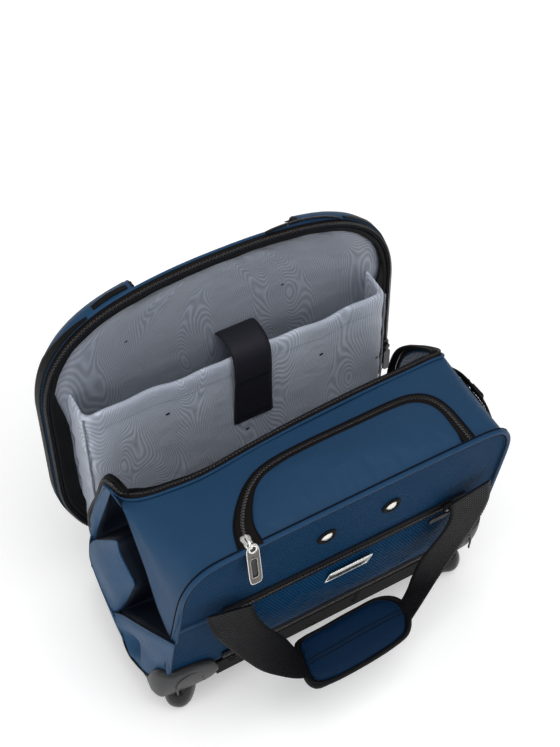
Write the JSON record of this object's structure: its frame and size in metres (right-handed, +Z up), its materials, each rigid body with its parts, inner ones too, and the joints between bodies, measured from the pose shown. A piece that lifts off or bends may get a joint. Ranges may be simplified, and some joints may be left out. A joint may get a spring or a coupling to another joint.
{
  "type": "rolling laptop case",
  "caption": "Soft rolling laptop case, open: castered base, sagged front section with zip pockets and carry handle, upright D-shaped rear section with laptop sleeve and trolley handle.",
  "frame": {"origin": "on the floor, under the middle of the overall box at rest", "axes": "+Z up, +X to the right seen from the front, -Y towards the front of the case"},
  "size_m": [0.41, 0.316, 0.415],
  "materials": {
    "chassis_plastic": "fine moulded texture",
    "guard_plastic": "fine moulded texture",
    "board": "plain sheet",
    "twill_blue": "ribbed twill polyester",
    "smooth_blue": "fine plain weave polyester",
    "lining_grey": "printed satin lining",
    "webbing_black": "ribbed webbing",
    "zip_tape_black": "woven zip tape with nylon coil",
    "strap_charcoal": "brushed loop strap",
    "wrap_blue": "ribbed twill, black bound edge",
    "nickel": "satin nickel",
    "tube_aluminium": "anodised",
    "black_plastic": "satin",
    "wheel_rubber": "satin",
    "axle_steel": "turned"
  },
  "bodies": {
    "case_base": {"base_tray": "chassis_plastic", "base_trim": "chassis_plastic", "front_guards": "guard_plastic", "rear_guards": "guard_plastic", "base_screws": "axle_steel", "caster_sockets": "black_plastic", "floor_board": "board", "front_panel": "twill_blue", "front_board": "board", "front_lining": "lining_grey", "front_piping": "twill_blue", "front_gusset": "smooth_blue", "front_rim_tape": "zip_tape_black", "top_pocket_zip": "zip_tape_black", "top_pocket_panel": "smooth_blue", "front_pocket": "twill_blue", "front_pocket_zip": "zip_tape_black", "lower_zip": "zip_tape_black", "badge_plate": "nickel", "rivets": "nickel", "side_pocket_zip": "zip_tape_black", "top_zip_slider": "nickel"},
    "top_pull": {"top_zip_pull": "nickel"},
    "pocket_slider": {"pocket_zip_slider": "nickel"},
    "pocket_pull": {"pocket_zip_pull": "nickel"},
    "side_slider": {"side_zip_slider": "nickel"},
    "side_pull": {"side_zip_pull": "nickel"},
    "front_handle": {"handle_webbing": "webbing_black", "handle_wrap": "wrap_blue"},
    "rear_section": {"rear_shell": "smooth_blue", "rear_board": "board", "rear_lining": "lining_grey", "rear_rim_tape": "zip_tape_black", "laptop_sleeve": "lining_grey", "hinge_tape": "smooth_blue", "trolley_outer_tubes": "tube_aluminium", "tube_brackets": "black_plastic", "trolley_bezel": "black_plastic", "rear_handle_tabs": "webbing_black"},
    "strap_flap": {"sleeve_strap": "strap_charcoal"},
    "rear_handle": {"rear_handle_webbing": "webbing_black"},
    "main_slider": {"main_zip_slider": "nickel"},
    "handle_stage_1": {"trolley_middle_tubes": "tube_aluminium", "middle_collars": "black_plastic"},
    "handle_stage_2": {"trolley_inner_tubes": "tube_aluminium", "trolley_grip": "black_plastic"},
    "handle_button": {"grip_button": "guard_plastic", "release_rods": "axle_steel"},
    "caster_fl": {"caster_fork_fl": "black_plastic", "caster_axle_fl": "axle_steel"},
    "wheel_fl": {"caster_wheel_fl": "wheel_rubber"},
    "caster_fr": {"caster_fork_fr": "black_plastic", "caster_axle_fr": "axle_steel"},
    "wheel_fr": {"caster_wheel_fr": "wheel_rubber"},
    "caster_rl": {"caster_fork_rl": "black_plastic", "caster_axle_rl": "axle_steel"},
    "wheel_rl": {"caster_wheel_rl": "wheel_rubber"},
    "caster_rr": {"caster_fork_rr": "black_plastic", "caster_axle_rr": "axle_steel"},
    "wheel_rr": {"caster_wheel_rr": "wheel_rubber"}
  },
  "joints": [
    {"name": "rear_hinge", "type": "hinge", "parent": "case_base", "child": "rear_section", "pos_m": [0, 0.12802, 0.073], "axis": [-1, 0, 0], "range_deg": [-19, 30]},
    {"name": "sleeve_strap_lift", "type": "hinge", "parent": "rear_section", "child": "strap_flap", "pos_m": [0.01, 0.12982, 0.319], "axis": [-1, 0, 0], "range_deg": [0, 45]},
    {"name": "rear_handle_swing", "type": "hinge", "parent": "rear_section", "child": "rear_handle", "pos_m": [0, 0.15652, 0.352], "axis": [1, 0, 0], "range_deg": [0, 120]},
    {"name": "main_zip_slide", "type": "slide", "parent": "rear_section", "child": "main_slider", "axis": [0, 0, 1], "range_m": [0, 0.1]},
    {"name": "handle_stage_1_slide", "type": "slide", "parent": "rear_section", "child": "handle_stage_1", "axis": [0, 0, 1], "range_m": [0, 0.24]},
    {"name": "handle_stage_2_slide", "type": "slide", "parent": "handle_stage_1", "child": "handle_stage_2", "axis": [0, 0, 1], "range_m": [0, 0.245]},
    {"name": "grip_button_press", "type": "slide", "parent": "handle_stage_2", "child": "handle_button", "axis": [0, 0, -1], "range_m": [0, 0.0025], "stiffness_N_per_m": 900},
    {"name": "front_handle_swing", "type": "hinge", "parent": "case_base", "child": "front_handle", "pos_m": [0, -0.11697, 0.186], "axis": [-1, 0, 0], "range_deg": [0, 150]},
    {"name": "top_pull_flip", "type": "hinge", "parent": "case_base", "child": "top_pull", "pos_m": [-0.1015, -0.11747, 0.3037], "axis": [-1, 0, 0], "range_deg": [0, 150]},
    {"name": "pocket_zip_slide", "type": "slide", "parent": "case_base", "child": "pocket_slider", "axis": [-1, 0, 0], "range_m": [0, 0.2]},
    {"name": "pocket_pull_flip", "type": "hinge", "parent": "pocket_slider", "child": "pocket_pull", "pos_m": [0.131, -0.107, 0.18116], "axis": [0, -0.169, 0.9856], "range_deg": [0, 85]},
    {"name": "side_zip_slide", "type": "slide", "parent": "case_base", "child": "side_slider", "axis": [0, -1, 0], "range_m": [0, 0.055]},
    {"name": "side_pull_flip", "type": "hinge", "parent": "side_slider", "child": "side_pull", "pos_m": [0.201, -0.02498, 0.262], "axis": [0, 0, 1], "range_deg": [0, 150]},
    {"name": "caster_swivel_fl", "type": "hinge", "parent": "case_base", "child": "caster_fl", "pos_m": [-0.158, -0.04698, 0.043], "axis": [0, 0, 1], "continuous": true},
    {"name": "wheel_spin_fl", "type": "hinge", "parent": "caster_fl", "child": "wheel_fl", "pos_m": [-0.16648, -0.05546, 0.019], "axis": [0.7071, -0.7071, 0], "continuous": true},
    {"name": "caster_swivel_fr", "type": "hinge", "parent": "case_base", "child": "caster_fr", "pos_m": [0.158, -0.04698, 0.043], "axis": [0, 0, 1], "continuous": true},
    {"name": "wheel_spin_fr", "type": "hinge", "parent": "caster_fr", "child": "wheel_fr", "pos_m": [0.16522, -0.05656, 0.019], "axis": [0.7986, 0.6018, 0], "continuous": true},
    {"name": "caster_swivel_rl", "type": "hinge", "parent": "case_base", "child": "caster_rl", "pos_m": [-0.158, 0.10702, 0.043], "axis": [0, 0, 1], "continuous": true},
    {"name": "wheel_spin_rl", "type": "hinge", "parent": "caster_rl", "child": "wheel_rl", "pos_m": [-0.16111, 0.11862, 0.019], "axis": [-0.9659, -0.2588, 0], "continuous": true},
    {"name": "caster_swivel_rr", "type": "hinge", "parent": "case_base", "child": "caster_rr", "pos_m": [0.158, 0.10702, 0.043], "axis": [0, 0, 1], "continuous": true},
    {"name": "wheel_spin_rr", "type": "hinge", "parent": "caster_rr", "child": "wheel_rr", "pos_m": [0.1621, 0.1183, 0.019], "axis": [-0.9397, 0.342, 0], "continuous": true}
  ]
}
